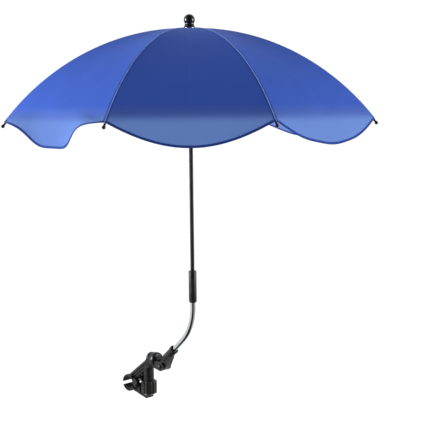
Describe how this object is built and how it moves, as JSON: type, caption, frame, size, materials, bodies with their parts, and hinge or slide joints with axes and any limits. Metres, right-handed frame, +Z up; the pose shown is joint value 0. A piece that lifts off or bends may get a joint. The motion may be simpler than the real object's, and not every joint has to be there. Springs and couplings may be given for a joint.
{
  "type": "stroller parasol",
  "caption": "Clip-on pushchair parasol: domed folding canopy on a slim shaft, bent chrome tube, tilting socket, swivel head and a screw clamp for a handlebar.",
  "frame": {"origin": "middle of the gripped length of the handlebar, on the bar's axis", "axes": "+X along the handlebar, -Y forward to the side where the canopy stands, +Z up along the shaft"},
  "size_m": [0.7074, 0.7075, 0.797],
  "materials": {
    "canopy_cloth": "woven, slightly translucent",
    "black_plastic": "moulded satin",
    "gloss_black": "polished",
    "shaft_paint": "satin black",
    "rib_paint": "black lacquer",
    "chrome": "polished",
    "steel": "plated",
    "rubber": "dull"
  },
  "bodies": {
    "clamp": {"clamp_body": "black_plastic", "upper_pad": "rubber", "jaw_pin": "steel", "jaw_spring": "steel", "screw_nut": "steel"},
    "jaw": {"lower_jaw": "black_plastic", "lower_pad": "rubber"},
    "foot": {"thrust_washer": "steel"},
    "knob": {"knob": "black_plastic", "clamp_screw": "steel"},
    "head": {"swivel_head": "black_plastic", "swivel_bolt": "steel", "tilt_bolt": "steel", "tilt_nut": "steel"},
    "socket": {"socket": "black_plastic", "chrome_tube": "chrome", "sleeve": "black_plastic", "shaft": "shaft_paint", "top_notch": "black_plastic", "notch_wire": "steel", "canopy_washer": "steel", "finial": "gloss_black"},
    "runner": {"runner": "black_plastic", "runner_wire": "steel"},
    "top_catch": {"top_catch": "steel"},
    "bottom_catch": {"bottom_catch": "steel"},
    "rib_1": {"rib_1": "rib_paint", "rib_tip_1": "gloss_black"},
    "stretcher_1": {"stretcher_1": "rib_paint"},
    "gore_1": {"gore_1": "canopy_cloth"},
    "rib_2": {"rib_2": "rib_paint", "rib_tip_2": "gloss_black"},
    "stretcher_2": {"stretcher_2": "rib_paint"},
    "gore_2": {"gore_2": "canopy_cloth"},
    "rib_3": {"rib_3": "rib_paint", "rib_tip_3": "gloss_black"},
    "stretcher_3": {"stretcher_3": "rib_paint"},
    "gore_3": {"gore_3": "canopy_cloth"},
    "rib_4": {"rib_4": "rib_paint", "rib_tip_4": "gloss_black"},
    "stretcher_4": {"stretcher_4": "rib_paint"},
    "gore_4": {"gore_4": "canopy_cloth"},
    "rib_5": {"rib_5": "rib_paint", "rib_tip_5": "gloss_black"},
    "stretcher_5": {"stretcher_5": "rib_paint"},
    "gore_5": {"gore_5": "canopy_cloth"},
    "rib_6": {"rib_6": "rib_paint", "rib_tip_6": "gloss_black"},
    "stretcher_6": {"stretcher_6": "rib_paint"},
    "gore_6": {"gore_6": "canopy_cloth"},
    "rib_7": {"rib_7": "rib_paint", "rib_tip_7": "gloss_black"},
    "stretcher_7": {"stretcher_7": "rib_paint"},
    "gore_7": {"gore_7": "canopy_cloth"},
    "rib_8": {"rib_8": "rib_paint", "rib_tip_8": "gloss_black"},
    "stretcher_8": {"stretcher_8": "rib_paint"},
    "gore_8": {"gore_8": "canopy_cloth"}
  },
  "joints": [
    {"name": "knob_turn", "type": "hinge", "parent": "foot", "child": "knob", "pos_m": [0, -0.047, 0], "axis": [0, 0, 1], "range_deg": [-120, 1440]},
    {"name": "foot_slide", "type": "slide", "parent": "clamp", "child": "foot", "axis": [0, 0, 1], "range_m": [-0.001, 0.012]},
    {"name": "jaw_swing", "type": "hinge", "parent": "clamp", "child": "jaw", "pos_m": [0, -0.0235, -0.002], "axis": [-1, 0, 0], "range_deg": [-2.1, 25]},
    {"name": "head_swivel", "type": "hinge", "parent": "clamp", "child": "head", "pos_m": [0, -0.06, 0.059], "axis": [0, -1, 0], "range_deg": [-60, 60]},
    {"name": "socket_tilt", "type": "hinge", "parent": "head", "child": "socket", "pos_m": [0, -0.094, 0.05], "axis": [1, 0, 0], "range_deg": [-45, 45]},
    {"name": "runner_slide", "type": "slide", "parent": "socket", "child": "runner", "axis": [0, 0, -1], "range_m": [0, 0.19008], "deforming": ["gore_1", "gore_2", "gore_3", "gore_4", "gore_5", "gore_6", "gore_7", "gore_8", "top_catch", "bottom_catch"]},
    {"name": "top_catch_press", "type": "slide", "parent": "socket", "child": "top_catch", "axis": [-1, 0, 0], "range_m": [0, 0.0025], "stiffness_N_per_m": 600},
    {"name": "bottom_catch_press", "type": "slide", "parent": "socket", "child": "bottom_catch", "axis": [-1, 0, 0], "range_m": [0, 0.0025], "stiffness_N_per_m": 600},
    {"name": "rib_1_fold", "type": "hinge", "parent": "socket", "child": "rib_1", "pos_m": [0.00831, -0.17904, 0.73901], "axis": [-0.3827, 0.9239, 0], "range_deg": [0, 60.01]},
    {"name": "stretcher_1_turn", "type": "hinge", "parent": "rib_1", "child": "stretcher_1", "pos_m": [0.15259, -0.11928, 0.70439], "axis": [-0.3827, 0.9239, 0], "range_deg": [-99.28, 0]},
    {"name": "gore_1_fold", "type": "hinge", "parent": "rib_1", "child": "gore_1", "pos_m": [0, -0.18249, 0.73382], "axis": [-0.6239, -0.6239, -0.4706], "range_deg": [0, 44.13]},
    {"name": "rib_2_fold", "type": "hinge", "parent": "socket", "child": "rib_2", "pos_m": [0.00344, -0.17417, 0.73901], "axis": [-0.9239, 0.3827, 0], "range_deg": [0, 60.01]},
    {"name": "stretcher_2_turn", "type": "hinge", "parent": "rib_2", "child": "stretcher_2", "pos_m": [0.0632, -0.0299, 0.70439], "axis": [-0.9239, 0.3827, 0], "range_deg": [-99.28, 0]},
    {"name": "gore_2_fold", "type": "hinge", "parent": "rib_2", "child": "gore_2", "pos_m": [0, -0.18249, 0.73382], "axis": [0, -0.8823, -0.4706], "range_deg": [0, 44.13]},
    {"name": "rib_3_fold", "type": "hinge", "parent": "socket", "child": "rib_3", "pos_m": [-0.00344, -0.17417, 0.73901], "axis": [-0.9239, -0.3827, 0], "range_deg": [0, 60.01]},
    {"name": "stretcher_3_turn", "type": "hinge", "parent": "rib_3", "child": "stretcher_3", "pos_m": [-0.0632, -0.0299, 0.70439], "axis": [-0.9239, -0.3827, 0], "range_deg": [-99.28, 0]},
    {"name": "gore_3_fold", "type": "hinge", "parent": "rib_3", "child": "gore_3", "pos_m": [0, -0.18249, 0.73382], "axis": [0.6239, -0.6239, -0.4706], "range_deg": [0, 44.13]},
    {"name": "rib_4_fold", "type": "hinge", "parent": "socket", "child": "rib_4", "pos_m": [-0.00831, -0.17904, 0.73901], "axis": [-0.3827, -0.9239, 0], "range_deg": [0, 60.01]},
    {"name": "stretcher_4_turn", "type": "hinge", "parent": "rib_4", "child": "stretcher_4", "pos_m": [-0.15259, -0.11928, 0.70439], "axis": [-0.3827, -0.9239, 0], "range_deg": [-99.28, 0]},
    {"name": "gore_4_fold", "type": "hinge", "parent": "rib_4", "child": "gore_4", "pos_m": [0, -0.18249, 0.73382], "axis": [0.8823, 0, -0.4706], "range_deg": [0, 44.13]},
    {"name": "rib_5_fold", "type": "hinge", "parent": "socket", "child": "rib_5", "pos_m": [-0.00831, -0.18593, 0.73901], "axis": [0.3827, -0.9239, 0], "range_deg": [0, 60.01]},
    {"name": "stretcher_5_turn", "type": "hinge", "parent": "rib_5", "child": "stretcher_5", "pos_m": [-0.15259, -0.24569, 0.70439], "axis": [0.3827, -0.9239, 0], "range_deg": [-99.28, 0]},
    {"name": "gore_5_fold", "type": "hinge", "parent": "rib_5", "child": "gore_5", "pos_m": [0, -0.18249, 0.73382], "axis": [0.6239, 0.6239, -0.4706], "range_deg": [0, 44.13]},
    {"name": "rib_6_fold", "type": "hinge", "parent": "socket", "child": "rib_6", "pos_m": [-0.00344, -0.1908, 0.73901], "axis": [0.9239, -0.3827, 0], "range_deg": [0, 60.01]},
    {"name": "stretcher_6_turn", "type": "hinge", "parent": "rib_6", "child": "stretcher_6", "pos_m": [-0.0632, -0.33507, 0.70439], "axis": [0.9239, -0.3827, 0], "range_deg": [-99.28, 0]},
    {"name": "gore_6_fold", "type": "hinge", "parent": "rib_6", "child": "gore_6", "pos_m": [0, -0.18249, 0.73382], "axis": [0, 0.8823, -0.4706], "range_deg": [0, 44.13]},
    {"name": "rib_7_fold", "type": "hinge", "parent": "socket", "child": "rib_7", "pos_m": [0.00344, -0.1908, 0.73901], "axis": [0.9239, 0.3827, 0], "range_deg": [0, 60.01]},
    {"name": "stretcher_7_turn", "type": "hinge", "parent": "rib_7", "child": "stretcher_7", "pos_m": [0.0632, -0.33507, 0.70439], "axis": [0.9239, 0.3827, 0], "range_deg": [-99.28, 0]},
    {"name": "gore_7_fold", "type": "hinge", "parent": "rib_7", "child": "gore_7", "pos_m": [0, -0.18249, 0.73382], "axis": [-0.6239, 0.6239, -0.4706], "range_deg": [0, 44.13]},
    {"name": "rib_8_fold", "type": "hinge", "parent": "socket", "child": "rib_8", "pos_m": [0.00831, -0.18593, 0.73901], "axis": [0.3827, 0.9239, 0], "range_deg": [0, 60.01]},
    {"name": "stretcher_8_turn", "type": "hinge", "parent": "rib_8", "child": "stretcher_8", "pos_m": [0.15259, -0.24569, 0.70439], "axis": [0.3827, 0.9239, 0], "range_deg": [-99.28, 0]},
    {"name": "gore_8_fold", "type": "hinge", "parent": "rib_8", "child": "gore_8", "pos_m": [0, -0.18249, 0.73382], "axis": [-0.8823, 0, -0.4706], "range_deg": [0, 44.13]}
  ],
  "couplings": [
    {"joint": "knob_turn", "follows": "foot_slide", "rad_per_m": 2094.4},
    {"joint": "jaw_swing", "follows": "foot_slide", "rad_per_m": 36.361},
    {"joint": "rib_1_fold", "follows": "runner_slide", "rad_per_m": 5.5091},
    {"joint": "stretcher_1_turn", "follows": "runner_slide", "rad_per_m": -9.1149},
    {"joint": "gore_1_fold", "follows": "runner_slide", "rad_per_m": 4.0515},
    {"joint": "rib_2_fold", "follows": "runner_slide", "rad_per_m": 5.5091},
    {"joint": "stretcher_2_turn", "follows": "runner_slide", "rad_per_m": -9.1149},
    {"joint": "gore_2_fold", "follows": "runner_slide", "rad_per_m": 4.0515},
    {"joint": "rib_3_fold", "follows": "runner_slide", "rad_per_m": 5.5091},
    {"joint": "stretcher_3_turn", "follows": "runner_slide", "rad_per_m": -9.1149},
    {"joint": "gore_3_fold", "follows": "runner_slide", "rad_per_m": 4.0515},
    {"joint": "rib_4_fold", "follows": "runner_slide", "rad_per_m": 5.5091},
    {"joint": "stretcher_4_turn", "follows": "runner_slide", "rad_per_m": -9.1149},
    {"joint": "gore_4_fold", "follows": "runner_slide", "rad_per_m": 4.0515},
    {"joint": "rib_5_fold", "follows": "runner_slide", "rad_per_m": 5.5091},
    {"joint": "stretcher_5_turn", "follows": "runner_slide", "rad_per_m": -9.1149},
    {"joint": "gore_5_fold", "follows": "runner_slide", "rad_per_m": 4.0515},
    {"joint": "rib_6_fold", "follows": "runner_slide", "rad_per_m": 5.5091},
    {"joint": "stretcher_6_turn", "follows": "runner_slide", "rad_per_m": -9.1149},
    {"joint": "gore_6_fold", "follows": "runner_slide", "rad_per_m": 4.0515},
    {"joint": "rib_7_fold", "follows": "runner_slide", "rad_per_m": 5.5091},
    {"joint": "stretcher_7_turn", "follows": "runner_slide", "rad_per_m": -9.1149},
    {"joint": "gore_7_fold", "follows": "runner_slide", "rad_per_m": 4.0515},
    {"joint": "rib_8_fold", "follows": "runner_slide", "rad_per_m": 5.5091},
    {"joint": "stretcher_8_turn", "follows": "runner_slide", "rad_per_m": -9.1149},
    {"joint": "gore_8_fold", "follows": "runner_slide", "rad_per_m": 4.0515}
  ]
}
